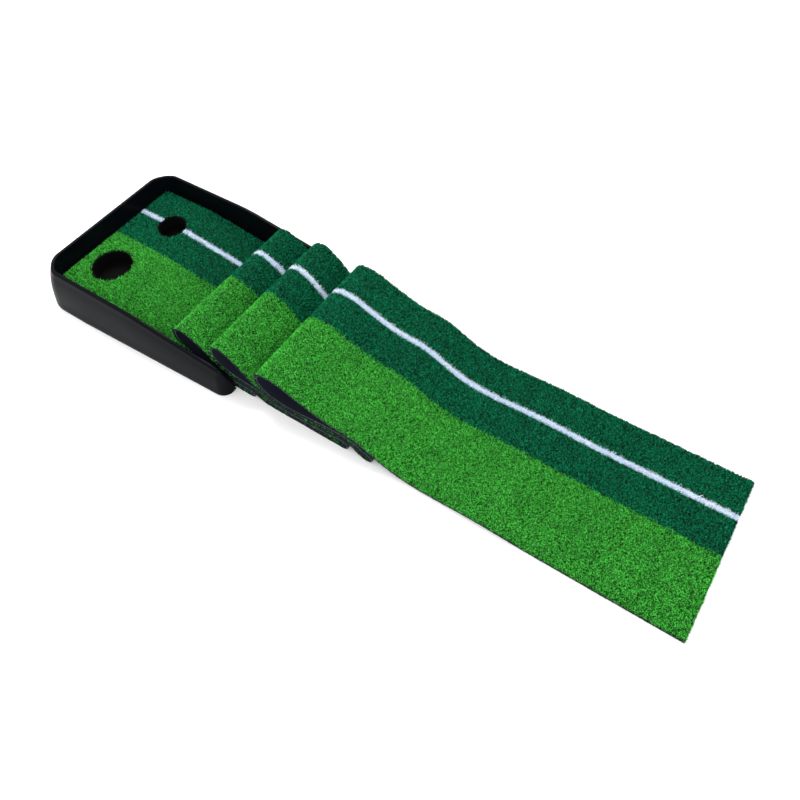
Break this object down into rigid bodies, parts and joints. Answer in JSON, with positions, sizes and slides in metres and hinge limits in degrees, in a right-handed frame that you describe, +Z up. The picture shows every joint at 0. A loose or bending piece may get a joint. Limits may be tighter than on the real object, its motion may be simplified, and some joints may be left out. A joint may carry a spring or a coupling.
{
  "type": "practice putting mat",
  "caption": "Turf putting mat that starts in a moulded tray with a large and a small hole, lies in loose accordion folds and runs out flat to a free end.",
  "frame": {"origin": "on the floor, at the middle of the whole length and width", "axes": "+X from the tray to the free end of the mat, +Y from the light half to the dark half, +Z up"},
  "size_m": [1.335, 0.385, 0.1049],
  "materials": {
    "tray_plastic": "gloss black",
    "cup_plastic": "satin black",
    "backing": "matt",
    "turf_light": "short tufted pile",
    "turf_dark": "short tufted pile",
    "line_white": "short tufted pile"
  },
  "bodies": {
    "stack": {"crease_a_backing": "backing", "crease_a_dark": "turf_dark", "crease_a_edge": "turf_dark", "crease_a_light": "turf_light", "crease_a_line": "line_white", "cup_large": "cup_plastic", "cup_small": "cup_plastic", "layer_1_backing": "backing", "layer_1_dark": "turf_dark", "layer_1_edge": "turf_dark", "layer_1_light": "turf_light", "layer_1_line": "line_white", "layer_1_line_back": "line_white", "layer_2_backing": "backing", "layer_2_dark": "turf_dark", "layer_2_edge": "turf_dark", "layer_2_light": "turf_light", "layer_2_line": "line_white", "layer_3_backing": "backing", "layer_3_dark": "turf_dark", "layer_3_edge": "turf_dark", "layer_3_light": "turf_light", "layer_3_line": "line_white", "layer_4_backing": "backing", "layer_4_dark": "turf_dark", "layer_4_edge": "turf_dark", "layer_4_light": "turf_light", "layer_4_line": "line_white", "layer_5_backing": "backing", "layer_5_dark": "turf_dark", "layer_5_edge": "turf_dark", "layer_5_light": "turf_light", "layer_5_line": "line_white", "layer_6_backing": "backing", "layer_6_dark": "turf_dark", "layer_6_edge": "turf_dark", "layer_6_light": "turf_light", "layer_6_line": "line_white", "tray_deck": "tray_plastic", "tray_rim": "tray_plastic"},
    "run": {"crease_b_backing": "backing", "crease_b_dark": "turf_dark", "crease_b_edge": "turf_dark", "crease_b_light": "turf_light", "crease_b_line": "line_white", "run_backing": "backing", "run_dark": "turf_dark", "run_edge": "turf_dark", "run_light": "turf_light", "run_line": "line_white"},
    "end": {"run_end_backing": "backing", "run_end_dark": "turf_dark", "run_end_edge": "turf_dark", "run_end_light": "turf_light", "run_end_line": "line_white"}
  },
  "joints": [
    {"name": "run_fold", "type": "hinge", "parent": "stack", "child": "run", "pos_m": [0.2275, 0, 0.012], "axis": [0, -1, 0], "range_deg": [0, 160], "deforming": ["crease_a_backing", "crease_a_dark", "crease_a_edge", "crease_a_light", "crease_a_line"]},
    {"name": "end_fold", "type": "hinge", "parent": "run", "child": "end", "pos_m": [0.44, 0, -0.0005], "axis": [0, 1, 0], "range_deg": [0, 176], "deforming": ["crease_b_backing", "crease_b_dark", "crease_b_edge", "crease_b_light", "crease_b_line"]}
  ],
  "couplings": [
    {"joint": "end_fold", "follows": "run_fold", "ratio": 1.1}
  ]
}
